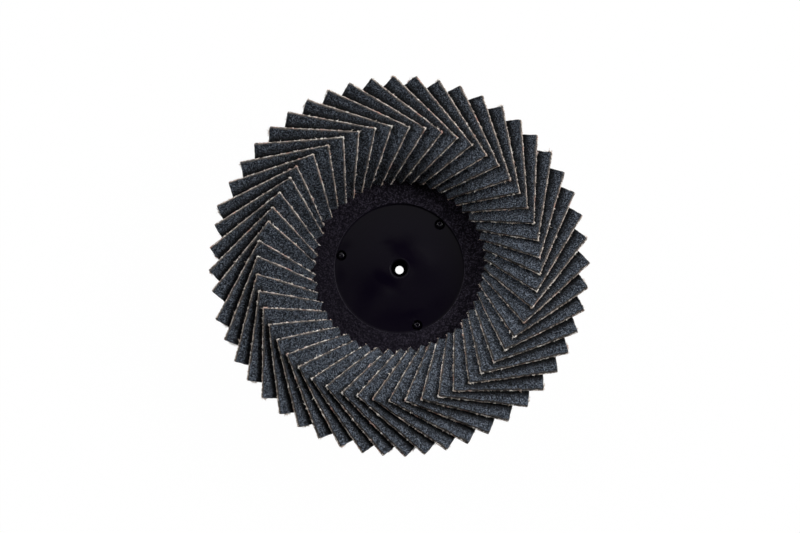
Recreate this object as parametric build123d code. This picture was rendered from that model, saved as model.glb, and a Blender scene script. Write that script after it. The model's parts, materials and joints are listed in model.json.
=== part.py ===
from build123d import *
import math
import os
import random

os.makedirs("parts", exist_ok=True)

# A flap disc of the quick-change kind, in millimetres. +Z points to the working side, the Z axis
# is the axis that the disc spins on, and the disc stands on the end face of its stud at Z = 0.

# Flaps: oblongs of coated cloth, laid round the plate anticlockwise, each over the one before it.
# A flap's width runs from its bedded root to its free edge, and its length runs along both.
disc_diameter = 76.0           # across the flap tips
flap_count = 52
flap_length = 17.8             # seen from above
flap_width = 12.5              # seen from above
flap_thickness = 1.0           # cloth, resin and grain together
flap_gap = 0.12                # clearance between two flaps, square to the cloth
root_offset = 13.3             # from the ring's centre to the line of a flap's root
first_flap_angle = -17.7       # degrees, the way that the first flap's width points
rim_spring = 0.35              # extra rise from flap to flap at the tips, where nothing holds them
rim_spring_start = 29.0        # radius where the flaps start to spring apart
flap_stations = 4              # sections along a flap's width

# The lay is uneven, as the laying machine left it. Flaps turn about a point near their roots.
ring_shift = 0.35              # the ring of flaps sits this far off the plate's axis, along +Y
lay_pivot = 3.9                # from the root, half way along the flap
lay_turns = [                  # (degrees round the ring, turn of the flaps there in degrees)
    (0, 0.2), (42, 0.3), (83, -1.4), (125, -0.4), (152, -0.9), (187, 2.2),
    (222, 2.6), (263, -4.6), (291, -3.2), (318, -5.4), (353, 0.2),
]
slipped_flaps = {              # flap number: (further turn in degrees, slide along its length)
    20: (1.8, 0.5), 21: (0.6, -0.2), 24: (-1.4, -0.4), 25: (0.9, 0.3), 36: (0.6, 0.1), 37: (-0.8, -0.1),
}
lay_scatter_turn = 0.5         # degrees, either way
lay_scatter_slide = 0.12       # either way
lay_seed = 7

# Resin bed that holds the flaps' roots
bed_thickness = 0.45
bed_inner_inset = 1.5          # from the flaps' inner root corners
bed_outer_inset = 0.3          # from the flaps' outer root corners
root_clearance = 0.05          # from the top of the bed to the lowest root

# Backing plate, one moulding with its stud
plate_diameter = 66.0
plate_thickness = 3.0          # over the flat seat on the back
plate_rim_thickness = 2.0
plate_edge_chamfer = 0.5
seat_radius = 15.0             # outer radius of the flat seat that a holder presses on
relief_radius = 7.4            # of the sunk ring between the seat and the stud
relief_depth = 0.4

# Smooth disc sunk into the middle of the plate's face, with gate wells at its edge
recess_radius = 13.15
recess_depth = 0.5
gate_count = 3
gate_circle_radius = 12.05
gate_angle = 47.4              # degrees, the first gate
gate_well_radius = 1.05
gate_well_depth = 0.30
gate_nub_radius = 0.55
gate_nub_height = 0.22         # above the floor of its well

# Stud with a coarse thread, and the stepped hole along its middle
stud_length = 6.8              # from the seat
stud_core_radius = 5.2
stud_end_chamfer = 0.5
thread_radius = 6.8
thread_pitch = 3.6
thread_turns = 1.15
thread_start = 0.55            # from the stud's end face to the thread's foot
thread_foot_width = 2.0
thread_crest_width = 0.9
thread_lead_in = 1.2           # height over which the thread's first turn is tapered
bore_radius = 1.65
bore_rim_chamfer = 0.3
pilot_hole_radius = 0.85
pilot_hole_depth = 1.2         # length of the small hole at the stud's end

# Worked out from the sizes above
flap_pitch = 360 / flap_count
tip_radius = disc_diameter / 2
tip_reach = math.sqrt(tip_radius**2 - (root_offset + flap_width)**2)
inner_reach = tip_reach - flap_length
middle_reach = tip_reach - flap_length / 2
bed_inner_radius = math.hypot(root_offset, inner_reach) + bed_inner_inset
bed_outer_radius = math.hypot(root_offset, tip_reach) - bed_outer_inset
plate_face = stud_length + plate_thickness
bed_face = plate_face + bed_thickness


def lay_turn(place):
    """Turn of the flaps, in degrees, at a place in degrees round the ring."""
    place %= 360
    knots = lay_turns + [(360, lay_turns[0][1])]
    for (start, first_turn), (end, last_turn) in zip(knots, knots[1:]):
        if place <= end:
            share = (place - start) / (end - start)
            return first_turn + (last_turn - first_turn) * share**2 * (3 - 2 * share)


def root_line_angle(place, radius):
    """Degrees round the ring where the root laid at this place crosses this radius."""
    turn = math.radians(lay_turn(place))
    pivot_x = root_offset + lay_pivot
    offset = pivot_x * math.cos(turn) + middle_reach * math.sin(turn) - lay_pivot
    across = math.acos(min(1, offset / radius))
    return first_flap_angle + place + math.degrees(turn + across)


def rooted_below(x, y, near):
    """The place whose root line runs under a point, in degrees round the ring and close to near."""
    radius = math.hypot(x, y)
    start = first_flap_angle + near - 90
    angle = start + (math.degrees(math.atan2(y, x)) - start) % 360
    place = near
    for _ in range(40):
        place += 0.8 * (angle - root_line_angle(place, radius))
    return place


def sheet_height(x, y, place):
    """Height of the middle of the flap laid at this place, above the roots: as many layers as
    are rooted between it and the point, each with its rise straight up."""
    step = flap_width / 250
    slope_x = rooted_below(x + step, y, place) - rooted_below(x - step, y, place)
    slope_y = rooted_below(x, y + step, place) - rooted_below(x, y - step, place)
    layers_per_mm = math.hypot(slope_x, slope_y) / (2 * step) / flap_pitch
    spacing = flap_thickness + flap_gap
    rise = spacing / math.sqrt(1 - min((spacing * layers_per_mm) ** 2, 0.5))
    sprung = max(0, math.hypot(x, y) - rim_spring_start) / (tip_radius - rim_spring_start)
    layers = (place - rooted_below(x, y, place)) / flap_pitch
    return layers * (rise + rim_spring * sprung**1.5)


def flap_lay(number, place, scatter):
    """Where a flap's flat outline lies, seen from above."""
    turn, slide = slipped_flaps.get(number, (0, 0))
    turn += lay_turn(place) + scatter.uniform(-lay_scatter_turn, lay_scatter_turn)
    slide += scatter.uniform(-lay_scatter_slide, lay_scatter_slide)
    pivot = Pos(root_offset + lay_pivot, middle_reach + slide, 0)
    return Rot(0, 0, first_flap_angle + place) * pivot * Rot(0, 0, turn)


def flap_section(lay, place, width_share):
    """A flap's cross-section along its length, square to the cloth."""

    def on_sheet(x, y):
        point = (lay * Pos(x, y, 0)).position
        return Vector(point.X, point.Y, sheet_height(point.X, point.Y, place))

    x = flap_width * width_share - lay_pivot
    step = flap_width / 50
    inner = on_sheet(x, -flap_length / 2)
    middle = on_sheet(x, 0)
    outer = on_sheet(x, flap_length / 2)
    along = (outer - inner).normalized()
    forward = on_sheet(x + step, 0) - middle
    forward = (forward - along * forward.dot(along)).normalized()
    plane = Plane(origin=(inner + outer) * 0.5, x_dir=along, z_dir=forward)
    bow = plane.to_local_coords(middle)
    half = (outer - inner).length / 2
    edge = flap_thickness / 2
    lower = Bezier((-half, -edge), (2 * bow.X, 2 * bow.Y - edge), (half, -edge))
    upper = Bezier((half, edge), (2 * bow.X, 2 * bow.Y + edge), (-half, edge))
    outline = [lower, Line(lower @ 1, upper @ 0), upper, Line(upper @ 1, lower @ 0)]
    return plane * make_face(outline)


def make_flap(number, scatter):
    """One flap, rising from its root and twisted so that it lies evenly over the flaps below."""
    place = (number - 1) * flap_pitch
    lay = flap_lay(number, place, scatter)
    shares = [i / (flap_stations - 1) for i in range(flap_stations)]
    return loft([flap_section(lay, place, share) for share in shares])


def make_resin_bed():
    """The ring of cured resin that the flaps' roots are set in."""
    ring = Circle(bed_outer_radius) - Circle(bed_inner_radius)
    return Pos(0, ring_shift, plate_face) * extrude(ring, bed_thickness)


def make_thread():
    """The coarse thread on the stud, a flat-topped ridge wound up its core and tapered at its start."""
    foot = thread_foot_width / 2
    crest = thread_crest_width / 2
    height = thread_radius - stud_core_radius
    sink = stud_core_radius * 0.1
    winding = Helix(pitch=thread_pitch, height=thread_turns * thread_pitch, radius=stud_core_radius)
    start = Plane(origin=winding @ 0, x_dir=(1, 0, 0), z_dir=winding % 0)
    outline = Polyline((-sink, -foot), (height, -crest), (height, crest), (-sink, foot), close=True)
    ridge = Pos(0, 0, thread_start + foot) * sweep(start * make_face(outline), path=winding, is_frenet=True)
    envelope = Polyline(
        (0, 0), (stud_core_radius, 0), (thread_radius, thread_start + thread_lead_in),
        (thread_radius, stud_length), (0, stud_length), close=True,
    )
    return ridge & revolve(Plane.XZ * make_face(envelope), Axis.Z)


def make_backing_plate():
    """The plate, its sunk middle, gate wells, threaded stud and stepped hole, as one moulding."""
    plate_radius = plate_diameter / 2
    rim_back = plate_face - plate_rim_thickness
    section = Polyline(
        (0, 0),
        (stud_core_radius - stud_end_chamfer, 0),
        (stud_core_radius, stud_end_chamfer),
        (stud_core_radius, stud_length + relief_depth),
        (relief_radius, stud_length + relief_depth),
        (relief_radius, stud_length),
        (seat_radius, stud_length),
        (plate_radius - plate_edge_chamfer, rim_back),
        (plate_radius, rim_back + plate_edge_chamfer),
        (plate_radius, plate_face - plate_edge_chamfer),
        (plate_radius - plate_edge_chamfer, plate_face),
        (recess_radius, plate_face),
        (recess_radius, plate_face - recess_depth),
        (0, plate_face - recess_depth),
        close=True,
    )
    plate = revolve(Plane.XZ * make_face(section), Axis.Z)
    plate += make_thread()

    recess_floor = plate_face - recess_depth
    for gate in PolarLocations(gate_circle_radius, gate_count, start_angle=gate_angle):
        well_floor = Pos(0, 0, recess_floor - gate_well_depth) * gate
        plate -= well_floor * extrude(Circle(gate_well_radius), gate_well_depth)
        plate += well_floor * extrude(Circle(gate_nub_radius), gate_nub_height)

    bore_section = Polyline(
        (0, 0),
        (pilot_hole_radius, 0),
        (pilot_hole_radius, pilot_hole_depth),
        (bore_radius, pilot_hole_depth),
        (bore_radius, recess_floor - bore_rim_chamfer),
        (bore_radius + bore_rim_chamfer, recess_floor),
        (0, recess_floor),
        close=True,
    )
    return plate - revolve(Plane.XZ * make_face(bore_section), Axis.Z)


lay_scatter = random.Random(lay_seed)
flaps = [make_flap(number, lay_scatter) for number in range(1, flap_count + 1)]
lowest_root = min(flap.bounding_box().min.Z for flap in flaps)
seated = Pos(0, ring_shift, bed_face + root_clearance - lowest_root)

export_step(make_backing_plate(), "parts/backing_plate.step")
export_step(make_resin_bed(), "parts/resin_bed.step")
for number, flap in enumerate(flaps, start=1):
    export_step(seated * flap, f"parts/flap_{number:02d}.step")
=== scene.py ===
import json
import math

import bpy
import numpy as np
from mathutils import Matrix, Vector
from mathutils.bvhtree import BVHTree

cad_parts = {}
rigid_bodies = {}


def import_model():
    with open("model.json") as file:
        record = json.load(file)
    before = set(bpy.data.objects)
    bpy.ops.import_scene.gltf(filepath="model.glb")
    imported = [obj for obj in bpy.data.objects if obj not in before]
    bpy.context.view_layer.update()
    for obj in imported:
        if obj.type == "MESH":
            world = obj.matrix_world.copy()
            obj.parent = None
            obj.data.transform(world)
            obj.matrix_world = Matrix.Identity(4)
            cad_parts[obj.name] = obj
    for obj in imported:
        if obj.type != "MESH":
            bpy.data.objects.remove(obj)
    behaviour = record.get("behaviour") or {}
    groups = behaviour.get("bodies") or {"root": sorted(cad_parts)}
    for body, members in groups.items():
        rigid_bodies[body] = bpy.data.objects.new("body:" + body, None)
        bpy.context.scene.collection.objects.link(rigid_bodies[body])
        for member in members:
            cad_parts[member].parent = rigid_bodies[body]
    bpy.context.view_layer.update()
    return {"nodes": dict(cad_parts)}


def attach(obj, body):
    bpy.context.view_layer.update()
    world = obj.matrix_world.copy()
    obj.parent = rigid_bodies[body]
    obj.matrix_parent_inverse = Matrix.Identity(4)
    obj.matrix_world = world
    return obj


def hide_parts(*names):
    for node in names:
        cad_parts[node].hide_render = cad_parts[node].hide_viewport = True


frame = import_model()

mm = 0.001
tiny = 0.001 * mm  # the slack when places are compared
allNodes = dict(frame["nodes"])


# shader nodes, written as expressions

class Value:
    def __init__(self, finish, socket):
        self.finish = finish
        self.socket = socket

    def math(self, operation, *others, clamp=False):
        settings = {"operation": operation, "use_clamp": clamp}
        return self.finish.add("ShaderNodeMath", settings, dict(enumerate((self, *others))))

    def __add__(self, other):
        return self.math("ADD", other)

    def __radd__(self, other):
        return self + other

    def __sub__(self, other):
        return self.math("SUBTRACT", other)

    def __rsub__(self, other):
        return self * -1 + other

    def __mul__(self, other):
        return self.math("MULTIPLY", other)

    def __rmul__(self, other):
        return self * other

    def __truediv__(self, other):
        return self.math("DIVIDE", other)

    def sqrt(self):
        return self.math("SQRT")

    def clip(self):
        return self.math("ADD", 0.0, clamp=True)

    def between(self, low, high):  # 0 below low, 1 above high, smooth on the way
        return self.finish.add("ShaderNodeMapRange", {"interpolation_type": "SMOOTHSTEP"},
                               {"Value": self, "From Min": low, "From Max": high})


class Finish:  # the nodes of a material or a world, with the sizes of its patterns in mm
    def __init__(self, name, kind="materials"):
        self.owner = getattr(bpy.data, kind).new(name)
        self.owner.use_nodes = True
        self.tree = self.owner.node_tree
        self.tree.nodes.clear()

    def add(self, kind, settings, values, output=None):  # gives the output of that name, or the first
        node = self.tree.nodes.new(kind)
        for name, setting in settings.items():
            if name == "stops":
                self.setStops(node.color_ramp, setting)
            else:
                setattr(node, name, setting)
        for name, value in values.items():
            socket = node.inputs[name]
            if isinstance(value, Value):
                self.tree.links.new(value.socket, socket)
            elif socket.type == "RGBA":
                socket.default_value = (*value, 1)
            else:
                socket.default_value = value
        outputs = [socket for socket in node.outputs if socket.enabled and output in (None, socket.name)]
        return Value(self, outputs[0]) if outputs else None

    def setStops(self, ramp, stops):
        while len(ramp.elements) < len(stops):
            ramp.elements.new(0.5)
        for element, (place, colour) in zip(ramp.elements, stops):
            element.position = place
            element.color = (*colour, 1)

    def place(self):
        return self.add("ShaderNodeTexCoord", {}, {}, "Object")

    def mark(self, name):  # a number kept on the mesh
        return self.add("ShaderNodeAttribute", {"attribute_name": name}, {}, "Fac")

    def seen(self):  # 1 where the camera looks straight at it, 0 for the light it gives
        return self.add("ShaderNodeLightPath", {}, {}, "Is Camera Ray")

    def noise(self, at, size, detail=2, roughness=0.5, output="Fac"):
        values = {"Vector": at, "Scale": 1 / (size * mm), "Detail": detail, "Roughness": roughness}
        return self.add("ShaderNodeTexNoise", {}, values, output)

    def cells(self, at, size, feature="F1", output="Distance"):
        values = {"Vector": at, "Scale": 1 / (size * mm)}
        return self.add("ShaderNodeTexVoronoi", {"feature": feature}, values, output)

    def ramp(self, share, stops):
        return self.add("ShaderNodeValToRGB", {"stops": stops}, {"Fac": share}, "Color")

    def mix(self, share, first, second):
        return self.add("ShaderNodeMix", {"data_type": "RGBA"}, {0: share, 6: first, 7: second}, "Result")

    def parts(self, vector):
        first = self.add("ShaderNodeSeparateXYZ", {}, {0: vector})
        return [Value(self, socket) for socket in first.socket.node.outputs]

    def bump(self, height, depth, strength):
        values = {"Height": height, "Distance": depth * mm, "Strength": strength}
        return self.add("ShaderNodeBump", {}, values)

    def surface(self, values):
        shader = self.add("ShaderNodeBsdfPrincipled", {}, values)
        self.add("ShaderNodeOutputMaterial", {}, {"Surface": shader})
        return self.owner


# camera, lamps and floor

studio = {
    "aim": (0.12, 0.17, 15.0), "distance": 500.0, "tilt": 2.2, "pictureWidth": 159.76,  # mm, degrees
    "sensorWidth": 36.0, "nearest": 10.0,  # mm
    "lamps": {  # turn and height in degrees, width and depth in mm, light on a face turned to the lamp
        "rightLamp": (13.0, 32.0, 800.0, 320.0, 1.2),
        "farLamp": (86.0, 28.0, 800.0, 320.0, 0.5),
        "leftLamp": (152.0, 22.0, 800.0, 320.0, 0.62),
        "roofLamp": (90.0, 82.0, 600.0, 190.0, 0.0068),
    },
    "lampDistance": 1000.0, "worldStrength": 0.025, "white": (1.0, 1.0, 1.0),
    "floorSize": 6000.0, "floorDrop": 0.02, "floorColour": (0.9, 0.9, 0.9), "floorGlow": 0.99,
}


def makeCamera(aim):
    tilt = math.radians(studio["tilt"])
    back = Vector((0, -math.sin(tilt), math.cos(tilt)))
    bpy.ops.object.camera_add(location=aim + back * studio["distance"] * mm, rotation=(tilt, 0, 0))
    camera = bpy.context.object
    camera.name = "camera"
    camera.data.sensor_width = studio["sensorWidth"]
    camera.data.lens = studio["sensorWidth"] * studio["distance"] / studio["pictureWidth"]
    camera.data.clip_start = studio["nearest"] * mm
    bpy.context.scene.camera = camera


def makeLamp(aim, name, turn, height, wide, deep, light):
    turn, height = math.radians(turn), math.radians(height)
    level = math.cos(height)
    toLamp = Vector((math.cos(turn) * level, math.sin(turn) * level, math.sin(height)))
    bpy.ops.object.light_add(type="AREA", location=aim + toLamp * studio["lampDistance"] * mm,
                             rotation=toLamp.to_track_quat("Z", "Y").to_euler())
    lamp = bpy.context.object
    lamp.name = name
    lamp.data.shape = "RECTANGLE"
    lamp.data.size = wide * mm
    lamp.data.size_y = deep * mm
    lamp.data.energy = light * (math.pi * studio["lampDistance"] * mm) ** 2


def makeWorld():
    sky = Finish("studioWorld", "worlds")
    white, strength = studio["white"], studio["worldStrength"]
    light = sky.add("ShaderNodeBackground", {}, {"Color": white, "Strength": strength})
    shown = sky.add("ShaderNodeBackground", {}, {"Color": white, "Strength": 1})
    either = sky.add("ShaderNodeMixShader", {}, {0: sky.seen(), 1: light, 2: shown})
    sky.add("ShaderNodeOutputWorld", {}, {"Surface": either})
    bpy.context.scene.world = sky.owner


def makeFloor():
    place = (0, 0, -studio["floorDrop"] * mm)
    bpy.ops.mesh.primitive_plane_add(size=studio["floorSize"] * mm, location=place)
    floor = bpy.context.object
    floor.name = "floor"
    paint = Finish("floorPaint")
    matt = paint.add("ShaderNodeBsdfDiffuse", {}, {"Color": studio["floorColour"]})
    glow = paint.add("ShaderNodeEmission", {}, {"Color": studio["white"], "Strength": 1})
    either = paint.add("ShaderNodeMixShader", {}, {0: paint.seen() * studio["floorGlow"], 1: matt, 2: glow})
    paint.add("ShaderNodeOutputMaterial", {}, {"Surface": either})
    floor.data.materials.append(paint.owner)


def makeStudio():
    aim = Vector(studio["aim"]) * mm
    makeCamera(aim)
    for name, values in studio["lamps"].items():
        makeLamp(aim, name, *values)
    makeWorld()
    makeFloor()
    bpy.context.scene.view_settings.view_transform = "Standard"
    print("studio made")


# small tools for meshes

def deselectAll():
    bpy.ops.object.select_all(action="DESELECT")


def choose(active, *others):
    deselectAll()
    for piece in (active, *others):
        piece.select_set(True)
    bpy.context.view_layer.objects.active = active


def edit(action, mode=None):  # into edit mode, with everything selected or nothing
    bpy.ops.object.mode_set(mode="EDIT")
    if mode:
        bpy.ops.mesh.select_mode(type=mode)
    bpy.ops.mesh.select_all(action=action)


def leaveEdit():
    bpy.ops.object.mode_set(mode="OBJECT")


def turnFacesOut():
    bpy.ops.mesh.select_all(action="SELECT")
    bpy.ops.mesh.normals_make_consistent(inside=False)


def copyOf(piece):
    choose(piece)
    bpy.ops.object.duplicate(linked=False)
    return bpy.context.object


def readValues(items, name):
    values = np.zeros(len(items) * 3)
    items.foreach_get(name, values)
    return values.reshape(-1, 3)


def setKind(mesh, kind):  # the finish of each face
    mesh.polygons.foreach_set("material_index", np.broadcast_to(kind, len(mesh.polygons)).astype(np.int32))


def unit(vectors):
    return vectors / np.linalg.norm(vectors, axis=-1, keepdims=True)


def scaled(values):
    return [value * mm for value in values]


# flaps of coated cloth

flap = {
    "count": 52, "width": 12.5, "length": 17.8, "firstTurn": -17.7,  # mm, degrees
    "thickness": 1.0, "clothTop": 0.62,  # cloth up to here, resin and grain above
    "edgeRings": [  # inset and height of the rings down the cut edge, mm
        (0.15, 1.0), (0.09, 0.96), (0.04, 0.80), (0.0, 0.62), (0.0, 0.30), (0.03, 0.0),
    ],
    "acrossGrid": 60, "alongGrid": 86, "backGrid": (10, 14), "backInset": 0.5,
    "cornerRound": (0.14, 0.10, 0.42, 0.14),  # mm: inner root, inner free, outer free, outer root
    "endBand": 0.05, "upperShare": 0.999, "lowerFacing": -0.9,  # which faces are the outer end, top and back
    "grainHeight": 0.05, "grainShift": 0.06, "grainSink": 0.02, "grainFrom": 0.99,
    "creviceFrom": 0.35, "creviceWide": 1.1,  # mm: painted shade, dark up to this far from the next flap, then fading
    "cutWander": 0.09, "wanderSize": 0.6, "cutRagged": 0.02, "endRagged": 0.09,
    "chipSize": 0.7, "chipLeast": 0.3, "chipMost": 2.0, "chipPower": 1.5, "endChip": 0.5,
    "sideApart": 100.0,  # mm between the sides' places on the wandering line
    "seed": 11,
}
sheet = {  # how the smooth sheet is read off a solid flap, in mm and in shares of its sides
    "cornerReach": 0.45, "testInset": 0.02, "tests": 9, "rayFrom": 50.0, "powers": 4, "slopeStep": 0.01,
}
frays = {
    "perEdge": {"free": 89, "inner": 85, "outer": 8}, "clusterEvery": 1.0, "clusterSpread": 0.11,
    "looseEvery": 5,  # one thread in five stands anywhere, the others in clusters
    "length": (0.08, 0.28), "radius": (0.035, 0.115), "longShare": 0.03, "longBy": 2.2,
    "cornerExtra": 18, "cornerReach": 0.3,
    "tuftShare": 0.48, "tuftCount": (10, 26), "tuftSpread": 0.35,  # tufts on the outer end, by the tip
    "tuftReach": (0.0, 2.4), "tuftBy": 1.6,
    "baseHeight": (0.3, 0.72), "sunk": 0.03, "facing": 0.3,
    "leanOut": (0.15, 1.0), "leanAlong": 0.9, "leanUp": (-0.2, 0.8),
    "bendOut": (-0.3, 0.3), "bendAlong": 0.4, "bendUp": (-0.3, 0.5),
    "sides": 3, "topRadius": 0.35,
}
flapKinds = {"coat": 0, "cut": 1, "back": 2, "crust": 3, "thread": 4}  # the order of the finishes on a flap

coatLook = {
    "gritSize": 0.16, "fineSize": 0.1, "patchSize": 3.5, "patchDetail": 3,  # mm
    "heightShare": 0.2, "gritShare": 0.85, "fineShare": 0.35, "patchShare": 0.1, "darker": 0.03,
    "stops": [
        (0.0, (0.0006, 0.0008, 0.0012)), (0.32, (0.0048, 0.0066, 0.0097)),
        (0.62, (0.036, 0.045, 0.061)), (1.0, (0.178, 0.205, 0.252)),
    ],
    # painted shade: the coat's colour next to the edge of the flap above, and the least share of its own tone
    # there
    "crevice": (0.0004, 0.0005, 0.0007), "creviceLeast": 0.04,
    "roughness": 0.38, "roughnessSwing": 0.2, "specular": 0.13, "gritRelief": 0.5, "relief": (0.12, 0.9),
}
cutLook = {
    "beadSize": 0.6, "beadDetail": 3, "beadRoughness": 0.65, "threadSize": 0.18, "threadShare": 0.35,  # mm
    "stops": [
        (0.40, (0.03, 0.024, 0.02)), (0.48, (0.11, 0.086, 0.07)),
        (0.54, (0.38, 0.31, 0.27)), (0.62, (0.78, 0.72, 0.66)),
    ],
    "pink": (0.50, 0.24, 0.18), "pinkSize": 2.1, "pinkFrom": (0.62, 0.72), "pinkShare": 0.6,
    "roughness": 0.85, "relief": (0.1, 0.8),
}
threadLook = {
    "toneSize": 1.1, "toneFrom": (0.35, 0.65), "tones": ((0.58, 0.48, 0.41), (0.97, 0.93, 0.88)),
    "pink": (0.60, 0.30, 0.24), "pinkSize": 1.6, "pinkFrom": (0.60, 0.68), "pinkShare": 0.6,
    "roughness": 0.8,
}
crustLook = {
    "crumbSize": 0.3, "fineSize": 0.2, "fineDetail": 3, "tones": ((0.010, 0.010, 0.012), (0.10, 0.085, 0.07)),
    "roughness": 0.6, "relief": (0.12, 1.0),
}
backLook = {
    "weaveSize": 0.3, "tones": ((0.13, 0.115, 0.10), (0.20, 0.18, 0.16)),
    "roughness": 0.9, "relief": (0.12, 0.7),
}


def coatFinish():
    look = coatLook
    f = Finish("grainCoat")
    at = f.place()
    grit = f.parts(f.cells(at, look["gritSize"], output="Color"))
    fine = f.noise(at, look["fineSize"])
    patch = f.noise(at, look["patchSize"], look["patchDetail"])
    # painted shade in the pits: the grain mark, each grain's height, darkens the low grains
    tone = f.mark("grain") * look["heightShare"] + grit[0] * look["gritShare"] - look["darker"]
    tone = tone + (patch - 0.5) * look["patchShare"] + (fine - 0.5) * look["fineShare"]
    # painted shade: the coat darkens near the edge of the flap that lies over it
    clear = f.mark("clear") * (1 - look["creviceLeast"]) + look["creviceLeast"]
    return f.surface({
        "Base Color": f.mix(clear, look["crevice"], f.ramp(tone, look["stops"])),
        "Roughness": look["roughness"] + grit[2] * look["roughnessSwing"],
        "Specular IOR Level": look["specular"],
        "Normal": f.bump(grit[1] * look["gritRelief"] + fine, *look["relief"]),
    })


def pinkSpots(f, at, look, shade):  # a few reddish spots
    spots = f.noise(at, look["pinkSize"], 1).between(*look["pinkFrom"])
    return f.mix(spots * look["pinkShare"], shade, look["pink"])


def cutFinish():
    look = cutLook
    f = Finish("cutClothEdge")
    at = f.place()
    bead = f.noise(at, look["beadSize"], look["beadDetail"], look["beadRoughness"])
    yarn = f.noise(at, look["threadSize"])
    shade = f.ramp(bead + (yarn - 0.5) * look["threadShare"], look["stops"])
    return f.surface({"Base Color": pinkSpots(f, at, look, shade), "Roughness": look["roughness"],
                      "Normal": f.bump(yarn, *look["relief"])})


def threadFinish():
    look = threadLook
    f = Finish("frayedThread")
    at = f.place()
    shade = f.mix(f.noise(at, look["toneSize"]).between(*look["toneFrom"]), *look["tones"])
    return f.surface({"Base Color": pinkSpots(f, at, look, shade), "Roughness": look["roughness"]})


def crustFinish():
    look = crustLook
    f = Finish("cutCoatEdge")
    at = f.place()
    crumb = f.parts(f.cells(at, look["crumbSize"], output="Color"))
    fine = f.noise(at, look["fineSize"], look["fineDetail"])
    return f.surface({"Base Color": f.mix(crumb[0] * fine, *look["tones"]), "Roughness": look["roughness"],
                      "Normal": f.bump(fine + crumb[1], *look["relief"])})


def backFinish():
    look = backLook
    f = Finish("clothBack")
    weave = f.noise(f.place(), look["weaveSize"])
    return f.surface({"Base Color": f.mix(weave, *look["tones"]), "Roughness": look["roughness"],
                      "Normal": f.bump(weave, *look["relief"])})


def addGrid(name, across, along, inset, height):
    w, l = (flap["width"] - 2 * inset) * mm, (flap["length"] - 2 * inset) * mm
    deselectAll()
    bpy.ops.mesh.primitive_grid_add(x_subdivisions=across, y_subdivisions=along, size=1)
    grid = bpy.context.object
    grid.name = name
    grid.scale = (w, l, 1)
    grid.location = (flap["width"] * mm / 2, flap["length"] * mm / 2, height * mm)
    bpy.ops.object.transform_apply(location=True, rotation=True, scale=True)
    return grid


def makeFlapMaster():  # one flat flap, with its root along Y and its top at its thickness
    rings = flap["edgeRings"]
    back = addGrid("flapBack", *flap["backGrid"], flap["backInset"], 0)
    top = addGrid("flapMaster", flap["acrossGrid"], flap["alongGrid"], *rings[0])
    middle = (flap["width"] * mm / 2, flap["length"] * mm / 2, 0)
    edit("DESELECT", "EDGE")
    bpy.ops.mesh.select_non_manifold()
    for (inset, height), (nextInset, nextHeight) in zip(rings, rings[1:]):  # down the cut edge
        bpy.ops.mesh.extrude_region_move(TRANSFORM_OT_translate={"value": (0, 0, (nextHeight - height) * mm)})
        grow = [(side - 2 * nextInset) / (side - 2 * inset) for side in (flap["width"], flap["length"])]
        bpy.ops.transform.resize(value=(*grow, 1), center_override=middle)
    leaveEdit()
    choose(top, back)
    bpy.ops.object.join()
    edit("DESELECT")
    bpy.ops.mesh.select_non_manifold()
    bpy.ops.mesh.bridge_edge_loops()
    turnFacesOut()
    leaveEdit()
    for finish in (coatFinish(), cutFinish(), backFinish(), crustFinish(), threadFinish()):
        top.data.materials.append(finish)
    faces = top.data.polygons
    centres, normals = readValues(faces, "center"), readValues(faces, "normal")
    kind = np.where(centres[:, 2] > flap["clothTop"] * mm, flapKinds["crust"], flapKinds["cut"])
    kind[centres[:, 1] > (flap["length"] - flap["endBand"]) * mm] = flapKinds["crust"]
    kind[centres[:, 2] > flap["upperShare"] * flap["thickness"] * mm] = flapKinds["coat"]
    kind[normals[:, 2] < flap["lowerFacing"]] = flapKinds["back"]
    setKind(top.data, kind)
    faces.foreach_set("use_smooth", kind != flapKinds["coat"])
    return top


def makeFrayMaster():  # one straight thread with a joint half way up, as points and triangles
    deselectAll()
    bpy.ops.mesh.primitive_cone_add(vertices=frays["sides"], radius1=1, radius2=frays["topRadius"], depth=1,
                                    location=(0, 0, 0.5))
    fray = bpy.context.object
    bpy.ops.object.transform_apply(location=True)
    selectWhere(fray, "edges", lambda a, b: abs(a[:, 2] - b[:, 2]) > 0.5)
    bpy.ops.mesh.subdivide(number_cuts=1)
    bpy.ops.mesh.select_all(action="SELECT")
    bpy.ops.mesh.quads_convert_to_tris()
    leaveEdit()
    points = readValues(fray.data.vertices, "co")
    faces = np.array([face.vertices for face in fray.data.polygons])
    bpy.data.objects.remove(fray)
    return points, faces


def surfaceOver(node, turn):  # the smooth sheet through a node's upper face, and its four corners
    mesh = allNodes[node].data
    points, faces = readValues(mesh.vertices, "co"), [tuple(face.vertices) for face in mesh.polygons]
    across = np.array((math.cos(turn), math.sin(turn)))
    along = np.array((-math.sin(turn), math.cos(turn)))
    corners = []
    for a, b in ((-1, -1), (1, -1), (1, 1), (-1, 1)):  # root or free edge, inner or outer end
        reach = points[:, :2] @ (across * a + along * b)
        close = points[reach > reach.max() - sheet["cornerReach"] * mm]
        corners.append(close[close[:, 2].argmax()])
    tree = BVHTree.FromPolygons([Vector(point) for point in points], faces)
    tests = np.linspace(sheet["testInset"], 1 - sheet["testInset"], sheet["tests"])
    s, t = (grid.ravel() for grid in np.meshgrid(tests, tests))
    plan = blendCorners(corners, s, t)
    heights = []
    for x, y, z in plan:
        hit = tree.ray_cast(Vector((x, y, sheet["rayFrom"] * mm)), Vector((0, 0, -1)))[0]
        heights.append(hit.z if hit else z)
    rise = np.linalg.lstsq(powersOf(s, t), np.array(heights) - plan[:, 2], rcond=None)[0]

    def surface(s, t):
        spots = blendCorners(corners, s, t)
        spots[:, 2] += powersOf(s, t) @ rise
        return spots

    return surface, corners


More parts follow.
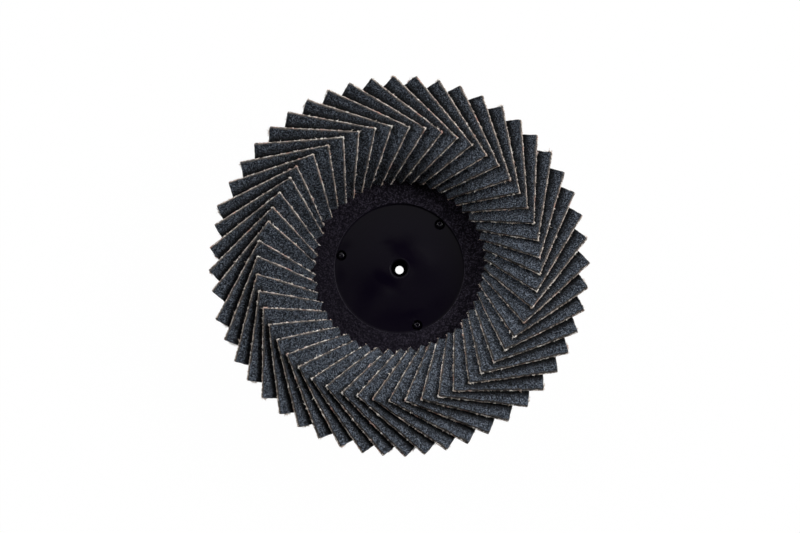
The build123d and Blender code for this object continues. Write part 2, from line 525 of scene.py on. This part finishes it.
def blendCorners(corners, s, t):
    a, b, c, d = corners
    s, t = s[:, None], t[:, None]
    return a * (1 - s) * (1 - t) + b * s * (1 - t) + c * s * t + d * (1 - s) * t


def powersOf(s, t):
    powers = range(sheet["powers"])
    return np.stack([s**i * t**j for i in powers for j in powers], axis=1)


def roundCorners(flat):
    w, l = flap["width"] * mm, flap["length"] * mm
    for (free, outer), radius in zip(((0, 0), (1, 0), (1, 1), (0, 1)), flap["cornerRound"]):
        radius *= mm
        centre = np.array((w - radius if free else radius, l - radius if outer else radius))
        outward = np.array((1 if free else -1, 1 if outer else -1))
        way = (flat[:, :2] - centre) * outward
        inside = (way > 0).all(axis=1)
        reach = way.max(axis=1) / np.maximum(np.linalg.norm(way, axis=1), tiny * mm)
        share = np.where(inside, reach, 1)[:, None]
        flat[:, :2] = centre + way * share * outward
    return flat


def layOn(surface, flat):  # flat places, in the flap's own width, length and height, put on its sheet
    flat = roundCorners(flat)
    s, t = flat[:, 0] / (flap["width"] * mm), flat[:, 1] / (flap["length"] * mm)
    step = sheet["slopeStep"]
    acrossSlope = surface(s + step, t) - surface(s - step, t)
    alongSlope = surface(s, t + step) - surface(s, t - step)
    depth = flap["thickness"] * mm - flat[:, 2]
    return surface(s, t) - unit(np.cross(acrossSlope, alongSlope)) * depth[:, None]


def wander(places, size, random):  # a random line of straight runs, from 0 to 1
    knots = np.arange(places.min() - size, places.max() + 2 * size, size)
    return np.interp(places, knots, random.uniform(0, 1, len(knots)))


def clearOfPaintedShade(points, corners):  # how much painted shade the coat gets: 0 under the next flap and close to its edge, 1 when well clear
    inner, free, _, outer = (corner[:2] for corner in corners)
    across, along = unit(free - inner), unit(outer - inner)
    w, l = (points[:, :2] - free) @ across, (points[:, :2] - free) @ along
    pastEdge = np.where(l < 0, w, np.maximum(w, 0))
    pastCorner = np.minimum(l, 0)
    return np.clip((np.hypot(pastEdge, pastCorner) / mm - flap["creviceFrom"]) / flap["creviceWide"], 0, 1)


def shapeFlap(piece, surface, nextCorners, random):
    w, l = flap["width"] * mm, flap["length"] * mm
    mesh = piece.data
    flat = readValues(mesh.vertices, "co")
    x, y, z = flat.T
    borders = np.array([x, w - x, y, l - y])  # from the root, the free edge, the inner and the outer end
    side, border = borders.argmin(axis=0), borders.min(axis=0)
    outerEnd = side == 3
    edge = border < flap["edgeRings"][0][0] * mm + tiny
    grainy = (z > flap["grainFrom"] * flap["thickness"] * mm) & ~edge

    run = np.where(side < 2, y, x) + side * flap["sideApart"] * mm
    chipRange = flap["chipMost"] - flap["chipLeast"]
    chip = flap["chipLeast"] + chipRange * wander(run, flap["chipSize"] * mm, random) ** flap["chipPower"]
    chip = np.where(outerEnd, flap["endChip"], chip)  # the outer end has no chips, but it is more ragged
    cut = wander(run, flap["wanderSize"] * mm, random) * flap["cutWander"] * mm
    ragged = np.where(outerEnd, flap["endRagged"], flap["cutRagged"]) * mm
    cut = cut + random.uniform(0, 1, len(x)) * ragged
    push = edge * (cut + border * (chip - 1) * (z > 0.5 * flap["clothTop"] * mm))
    x += push * (side == 0) - push * (side == 1)
    y += push * (side == 2) - push * outerEnd

    # the height of each grain, also kept as the grain mark that paints shade on the low grains
    grain = random.uniform(-1, 1, len(x)) * grainy
    x += random.uniform(-1, 1, len(x)) * grainy * flap["grainShift"] * mm
    y += random.uniform(-1, 1, len(x)) * grainy * flap["grainShift"] * mm
    z += grain * flap["grainHeight"] * mm - grainy * flap["grainSink"] * mm
    laid = layOn(surface, np.stack([x, y, z], axis=1))
    mesh.vertices.foreach_set("co", laid.ravel())
    # the clear mark sets the painted shade near the next flap
    for name, values in (("clear", clearOfPaintedShade(laid, nextCorners)), ("grain", grain * 0.5 + 0.5)):
        mesh.attributes.new(name, "FLOAT", "POINT").data.foreach_set("value", values.astype(np.float32))
    mesh.update()


def frayPlaces(random):  # where each thread stands, the way out of the edge there and the way along it
    w, l = flap["width"], flap["length"]
    sides = {  # start, way along, way out, length
        "free": ((w, 0), (0, 1), (1, 0), l),
        "inner": ((0, 0), (1, 0), (0, -1), w),
        "outer": ((0, l), (1, 0), (0, 1), w),
    }
    spots = []
    for name, count in frays["perEdge"].items():
        start, way, out, reach = sides[name]
        clusters = random.uniform(0, reach, int(reach / frays["clusterEvery"]))
        for number in range(count):
            place = random.uniform(0, reach)
            if number % frays["looseEvery"]:
                place = random.choice(clusters) + random.normal(0, frays["clusterSpread"])
            place = min(max(place, 0), reach)
            spots.append(((start[0] + way[0] * place, start[1] + way[1] * place), out, way))
    plain = len(spots)
    tuft = random.uniform(*frays["tuftReach"])
    threads = 0
    if random.uniform() < frays["tuftShare"]:
        threads = random.integers(*frays["tuftCount"])
    for _ in range(threads):
        back = max(tuft + random.normal(0, frays["tuftSpread"]), 0)
        spots.append(((w - back, l), (0, 1), (1, 0)))
    tufted = slice(plain, len(spots))
    for _ in range(frays["cornerExtra"]):
        spots.append(((w, random.uniform(0, frays["cornerReach"])), (1, 0), (0, 1)))
        spots.append(((w - random.uniform(0, frays["cornerReach"]), 0), (0, -1), (1, 0)))
    return spots, tufted


def makeFrays(surface, random, fray):  # copies of the one thread, bent and laid on the flap's sheet
    points, faces = fray
    spots, tufted = frayPlaces(random)
    count = len(spots)
    column = (count, 1)
    base = np.array([(*place, random.uniform(*frays["baseHeight"])) for place, _, _ in spots])
    out = np.array([(*out, 0) for _, out, _ in spots])
    way = np.array([(*way, 0) for _, _, way in spots])
    up = np.array([(0, 0, 1.0)] * count)
    lean = out * random.uniform(*frays["leanOut"], column)
    lean = lean + way * random.normal(0, frays["leanAlong"], column)
    lean = unit(lean + up * random.uniform(*frays["leanUp"], column))
    bend = out * random.uniform(*frays["bendOut"], column)
    bend = bend + way * random.normal(0, frays["bendAlong"], column)
    bend = bend + up * random.uniform(*frays["bendUp"], column)
    length = random.uniform(*frays["length"], count)
    length[random.uniform(0, 1, count) < frays["longShare"]] *= frays["longBy"]
    length[tufted] *= frays["tuftBy"]
    radius = random.uniform(*frays["radius"], count)

    first = unit(np.cross(lean, up + frays["facing"] * way))
    second = np.cross(lean, first)
    x, y, h = (values[None, :, None] for values in points.T)
    axis = (lean[:, None] * h + bend[:, None] * h**2) * length[:, None, None]
    around = (first[:, None] * x + second[:, None] * y) * radius[:, None, None]
    flat = (base - out * frays["sunk"])[:, None] + axis + around
    laid = layOn(surface, flat.reshape(-1, 3) * mm)
    allFaces = (faces[None] + (np.arange(count) * len(points))[:, None, None]).reshape(-1, 3)
    mesh = bpy.data.meshes.new("frays")
    mesh.from_pydata(laid.tolist(), [], allFaces.tolist())
    mesh.polygons.foreach_set("use_smooth", np.ones(len(mesh.polygons), bool))
    piece = bpy.data.objects.new("frays", mesh)
    bpy.context.collection.objects.link(piece)
    return piece


def makeFlaps():
    count = flap["count"]
    master, fray = makeFlapMaster(), makeFrayMaster()
    nodes = [f"flap_{number + 1:02d}" for number in range(count)]
    turns = [math.radians(flap["firstTurn"] + number * 360 / count) for number in range(count)]
    sheets = [surfaceOver(node, turn) for node, turn in zip(nodes, turns)]
    for number, (surface, _) in enumerate(sheets):
        random = np.random.default_rng(flap["seed"] + number)
        piece = copyOf(master)
        piece.name = f"abrasiveFlap{number + 1:02d}"
        nextCorners = sheets[(number + 1) % count][1]
        shapeFlap(piece, surface, nextCorners, random)
        threads = makeFrays(surface, random, fray)
        for finish in piece.data.materials:
            threads.data.materials.append(finish)
        setKind(threads.data, flapKinds["thread"])
        choose(piece, threads)
        bpy.ops.object.join()
        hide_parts(nodes[number])
        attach(piece, "root")
    bpy.data.objects.remove(master)
    print("flaps made:", count)


# moulded plate with its stud, and the resin under the flaps

plate = {
    "profile": [  # radius and height, mm, from the stud's end out and back to the hole
        (0.85, 0.0), (4.7, 0.0), (5.2, 0.5), (5.2, 7.2), (7.4, 7.2), (7.4, 6.8), (15.0, 6.8), (32.5, 7.8),
        (33.0, 8.3), (33.0, 9.3), (32.5, 9.8), (17.6, 9.8), (13.15, 9.8), (13.15, 9.3), (2.12, 9.3),
        (2.0, 9.315), (1.9, 9.28), (1.65, 9.0), (1.65, 1.2), (0.85, 1.2),
    ],
    "rounding": 0.05, "roundingSteps": 3, "steps": 360, "floor": 9.3, "face": 9.8, "smoothAngle": 38.0,
    "cuts": [("floor", 2.0, 13.3, 30), ("face", 13.0, 17.7, 22)],  # level, radii in mm, rings
    "grainFrom": 13.3, "grainTo": 17.8, "grainHeight": 0.03, "grainSwing": (-1.6, 0.4), "slack": 0.02,
    "gates": 3, "gateCircle": 12.05, "gateTurn": 47.4, "gateSteps": 48,
    "gate": [  # radius and height over the sunk floor, mm
        (0.0, 0.3), (0.0, -0.40), (0.10, -0.38), (0.17, -0.10), (0.24, -0.04), (0.42, -0.03), (0.53, -0.09),
        (0.60, -0.25), (0.64, -0.90), (1.00, -0.90), (1.04, -0.80), (1.05, -0.06), (1.09, 0.0), (1.09, 0.3),
    ],
    "dents": [  # x, y, reach, depth, mm
        (1.6, 4.2, 2.6, 0.03), (-1.8, -2.9, 2.4, 0.03), (-6.5, -5.0, 4.5, 0.04), (5.0, 0.5, 4.0, -0.03),
        (3.1, -9.9, 0.6, 0.015), (2.2, -10.1, 0.5, 0.012),
    ],
    "dentFrom": 2.2, "dentTo": 13.05, "dentFadeIn": 0.8, "dentFadeOut": 0.6, "dentDeep": 0.4, "dentFall": 2.0,
    "seed": 5,
}
plasticLook = {
    "sunkEdge": (13.05, 13.20), "sunkHeight": (8.8, 9.0),  # mm, where the sunk middle ends
    "smoothFrom": (2.1, 2.4), "smoothTo": (12.85, 13.00),
    "erodedSize": 0.36, "erodedShare": 0.9, "fineSize": 0.2, "fineDetail": 3, "fineShare": 0.5,
    # pale specks: random tone of the eroded grain, with painted glints
    "speckSize": 0.23, "speckFrom": (0.15, 0.7), "warpSize": 3.0, "warpBy": 2.0,
    # painted light: the last entry tilts the ring's pale specks lighter towards +X and +Y
    "tones": ((0.0021, 0.0011, 0.0044), (0.042, 0.036, 0.053)), "evenTone": (0.34, 0.3, 0.98),
    "specular": 0.12, "coat": 0.80, "coatRoughness": 0.15, "smoothRoughness": 0.12,
    "roughness": 0.45, "roughnessSwing": 0.15, "relief": (0.12, 0.9),
    "marks": [  # x, y, half length and width, mm, turn, strength of the dull flow marks
        (1.2, 3.0, 6.6, 2.7, -36.0, 1.0), (-2.3, -2.7, 4.8, 2.0, -38.0, 1.0),
        (-6.3, -5.6, 6.5, 3.6, 62.0, 0.7), (0.5, -10.0, 8.0, 3.4, 0.0, 0.5),
        (-11.2, 4.4, 3.0, 1.6, 10.0, 0.5), (-11.8, -1.2, 3.0, 1.6, 80.0, 0.4),
        (8.0, -7.0, 4.5, 3.0, 50.0, 0.25), (-2.6, 5.4, 2.0, 1.0, 0.0, 0.3), (3.0, -8.6, 4.0, 0.9, 12.0, 0.3),
    ],
}
thread = {
    "profile": [(4.7, -1.14), (6.8, -0.45), (6.8, 0.45), (4.7, 1.14)],  # radius and height, mm
    "rounding": 0.12, "roundingSteps": 2, "start": 1.55, "pitch": 3.6, "turns": 1.15, "steps": 180,
    "taperFoot": 5.2, "taperTop": 6.8, "taperHeight": 1.75,
}
resinLook = {
    "cloudSize": 2.0, "cloudDetail": 3, "tones": ((0.02, 0.012, 0.008), (0.06, 0.035, 0.02)),
    "roughness": 0.25, "relief": (0.3, 0.5),
}


def drawProfile(name, points, closed=True):  # a line in the XZ plane, drawn point by point
    deselectAll()
    bpy.ops.mesh.primitive_plane_add(size=1)
    piece = bpy.context.object
    piece.name = name
    edit("SELECT", "VERT")
    bpy.ops.mesh.merge(type="CENTER")
    bpy.ops.transform.translate(value=(points[0][0] * mm, 0, points[0][1] * mm))
    for (x, z), (nextX, nextZ) in zip(points, points[1:]):
        step = ((nextX - x) * mm, 0, (nextZ - z) * mm)
        bpy.ops.mesh.extrude_vertices_move(TRANSFORM_OT_translate={"value": step})
    leaveEdit()
    if closed:
        selectWhere(piece, "vertices", lambda at: near(at, points[0]) | near(at, points[-1]))
        bpy.ops.mesh.edge_face_add()
        leaveEdit()
    return piece


def near(at, point):
    return np.hypot(at[:, 0] - point[0] * mm, at[:, 2] - point[1] * mm) < 10 * tiny


def selectWhere(piece, kind, test):  # by place, and leaves the piece in edit mode
    choose(piece)
    mesh = piece.data
    points = readValues(mesh.vertices, "co")
    edit("DESELECT", "VERT" if kind == "vertices" else "EDGE")
    leaveEdit()
    if kind == "vertices":
        mesh.vertices.foreach_set("select", test(points))
    else:
        ends = np.array([edge.vertices for edge in mesh.edges])
        mesh.edges.foreach_set("select", test(points[ends[:, 0]], points[ends[:, 1]]))
    bpy.ops.object.mode_set(mode="EDIT")


def spinProfile(piece, steps):
    edit("SELECT")
    bpy.ops.mesh.spin(steps=steps, angle=2 * math.pi, center=(0, 0, 0), axis=(0, 0, 1))
    bpy.ops.mesh.select_all(action="SELECT")
    bpy.ops.mesh.remove_doubles(threshold=2 * tiny)
    turnFacesOut()
    leaveEdit()


def cutWith(piece, tool, operation):
    choose(piece)
    bpy.ops.object.modifier_add(type="BOOLEAN")
    modifier = piece.modifiers[-1]
    modifier.operation = operation
    modifier.object = tool
    modifier.solver = "EXACT"
    bpy.ops.object.modifier_apply(modifier=modifier.name)
    bpy.data.objects.remove(tool)


def makeThread():
    ridge = drawProfile("studThread", thread["profile"])
    edit("SELECT")
    bpy.ops.mesh.bevel(affect="VERTICES", offset=thread["rounding"] * mm, segments=thread["roundingSteps"])
    bpy.ops.transform.translate(value=(0, 0, thread["start"] * mm))
    leaveEdit()
    bpy.ops.object.modifier_add(type="SCREW")
    screw = ridge.modifiers[-1]
    screw.angle = math.radians(360 * thread["turns"])
    screw.screw_offset = thread["pitch"] * thread["turns"] * mm
    screw.steps = thread["steps"]
    screw.render_steps = thread["steps"]
    bpy.ops.object.modifier_apply(modifier=screw.name)
    edit("SELECT")
    bpy.ops.mesh.fill_holes(sides=0)
    turnFacesOut()
    leaveEdit()
    at = readValues(ridge.data.vertices, "co")  # tapered at its start
    reach = np.hypot(at[:, 0], at[:, 1])
    foot, top = thread["taperFoot"] * mm, thread["taperTop"] * mm
    most = foot + (top - foot) * np.clip(at[:, 2] / (thread["taperHeight"] * mm), 0, 1)
    at[:, :2] *= (np.minimum(reach, most) / reach)[:, None]
    ridge.data.vertices.foreach_set("co", at.ravel())
    return ridge


def makeGateCutters():
    cutter = drawProfile("gateCutter", plate["gate"], closed=False)
    spinProfile(cutter, plate["gateSteps"])
    circle = plate["gateCircle"]
    copies = []
    for number in range(plate["gates"]):
        turn = math.radians(plate["gateTurn"] + number * 360 / plate["gates"])
        copy = copyOf(cutter)
        copy.location = scaled((circle * math.cos(turn), circle * math.sin(turn), plate["floor"]))
        bpy.ops.object.transform_apply(location=True)
        copies.append(copy)
    bpy.data.objects.remove(cutter)
    choose(*copies)
    bpy.ops.object.join()
    return copies[0]


def roughenPlate(mesh):  # spark-eroded grain on the ring, and faint dents in the sunk middle
    at = readValues(mesh.vertices, "co")
    x, y, z = at.T
    reach = np.hypot(x, y)
    random = np.random.default_rng(plate["seed"])
    face, floor, slack = scaled((plate["face"], plate["floor"], plate["slack"]))
    grainy = (reach > plate["grainFrom"] * mm) & (reach < plate["grainTo"] * mm) & (z > face - slack)
    z += grainy * random.uniform(*plate["grainSwing"], len(z)) * plate["grainHeight"] * mm
    dentFrom, dentTo, fadeIn, fadeOut, deep = scaled(
        plate[name] for name in ("dentFrom", "dentTo", "dentFadeIn", "dentFadeOut", "dentDeep"))
    sunk = (z > floor - deep) & (z < floor + slack) & (reach > dentFrom)
    fade = np.clip((dentTo - reach) / fadeOut, 0, 1) * np.clip((reach - dentFrom) / fadeIn, 0, 1)
    for centreX, centreY, size, depth in plate["dents"]:
        away = np.hypot(x - centreX * mm, y - centreY * mm) / (size * mm)
        z -= sunk * fade * np.exp(-plate["dentFall"] * away**2) * depth * mm
    mesh.vertices.foreach_set("co", at.ravel())


def longEdges(a, b, height, low, high):  # level edges over a millimetre long, between two radii
    level = (abs(a[:, 2] - height * mm) < tiny) & (abs(b[:, 2] - height * mm) < tiny)
    inside = (np.minimum(a[:, 0], b[:, 0]) > low * mm) & (np.maximum(a[:, 0], b[:, 0]) < high * mm)
    return level & inside & (abs(a[:, 0] - b[:, 0]) > mm)


def makePlate():
    piece = drawProfile("mouldedPlate", plate["profile"])
    selectWhere(piece, "vertices", lambda at: at[:, 0] > 0)
    bpy.ops.mesh.bevel(affect="VERTICES", offset=plate["rounding"] * mm, segments=plate["roundingSteps"],
                       clamp_overlap=True)
    leaveEdit()
    for level, low, high, rings in plate["cuts"]:
        selectWhere(piece, "edges", lambda a, b: longEdges(a, b, plate[level], low, high))
        bpy.ops.mesh.subdivide(number_cuts=rings)
        leaveEdit()
    spinProfile(piece, plate["steps"])
    cutWith(piece, makeGateCutters(), "DIFFERENCE")
    cutWith(piece, makeThread(), "UNION")
    roughenPlate(piece.data)
    piece.data.materials.clear()
    piece.data.materials.append(plasticFinish())
    setKind(piece.data, 0)
    choose(piece)
    bpy.ops.object.shade_smooth_by_angle(angle=math.radians(plate["smoothAngle"]))
    piece.data.update()
    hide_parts("backing_plate")
    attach(piece, "root")
    print("plate made:", len(piece.data.polygons), "faces")


def flowMarks(f, at, x, y):  # how dull the sunk middle is, from soft long spots with warped outlines
    look = plasticLook
    warp = f.parts(f.noise(at, look["warpSize"], output="Color"))
    dull = 0.0
    for markX, markY, long, wide, turn, strength in look["marks"]:
        east = x - markX * mm + (warp[0] - 0.5) * (look["warpBy"] * mm)
        north = y - markY * mm + (warp[1] - 0.5) * (look["warpBy"] * mm)
        cos, sin = math.cos(math.radians(turn)), math.sin(math.radians(turn))
        u = (east * cos + north * sin) / (long * mm)
        v = (north * cos - east * sin) / (wide * mm)
        spot = (1 - u * u - v * v).clip()
        dull = spot * spot * strength + dull
    return dull


def plasticFinish():
    look = plasticLook
    f = Finish("mouldedPlastic")
    at = f.place()
    x, y, z = f.parts(at)
    radius = (x * x + y * y).sqrt()
    sunk = (1 - radius.between(*scaled(look["sunkEdge"]))) * z.between(*scaled(look["sunkHeight"]))
    inner, outer = radius.between(*scaled(look["smoothFrom"])), radius.between(*scaled(look["smoothTo"]))
    smooth = sunk * inner * (1 - outer)
    eroded = f.cells(at, look["erodedSize"], feature="SMOOTH_F1")
    fine = f.noise(at, look["fineSize"], look["fineDetail"])
    speck = f.parts(f.cells(at, look["speckSize"], output="Color"))
    relief = (eroded * look["erodedShare"] + fine * look["fineShare"]) * (1 - sunk)
    byX, byY, middle = look["evenTone"]
    evenTone = (x * byX + y * byY) / radius + middle  # painted light: lighter towards +X and +Y, where the flaps shade the ring
    # pale specks of the eroded ring: random tone with painted glints, lit more on one side by painted light
    specksWithPaintedLight = (speck[0] * fine).between(*look["speckFrom"]) * (1 - sunk) * evenTone
    roughness = (look["roughness"] + speck[1] * look["roughnessSwing"]) * (1 - smooth)
    return f.surface({
        "Base Color": f.mix(specksWithPaintedLight, *look["tones"]),
        "Roughness": roughness + smooth * look["smoothRoughness"],
        "Specular IOR Level": look["specular"],
        "Coat Weight": (smooth * (look["coat"] - flowMarks(f, at, x, y))).clip(),
        "Coat Roughness": look["coatRoughness"],
        "Normal": f.bump(relief, *look["relief"]),
    })


def resinFinish():
    look = resinLook
    f = Finish("curedResin")
    cloud = f.noise(f.place(), look["cloudSize"], look["cloudDetail"])
    return f.surface({"Base Color": f.mix(cloud, *look["tones"]), "Roughness": look["roughness"],
                      "Normal": f.bump(cloud, *look["relief"])})


def dressResin():
    node, finish = allNodes["resin_bed"], resinFinish()
    if not node.material_slots:
        node.data.materials.append(finish)
    for slot in node.material_slots:
        slot.material = finish
    print("resin dressed")


def countTriangles():
    count = 0
    for piece in bpy.data.objects:
        if piece.type == "MESH" and not piece.hide_render:
            piece.data.calc_loop_triangles()
            count += len(piece.data.loop_triangles)
    print("triangles shown:", count)


makeStudio()
makeFlaps()
makePlate()
dressResin()
countTriangles()
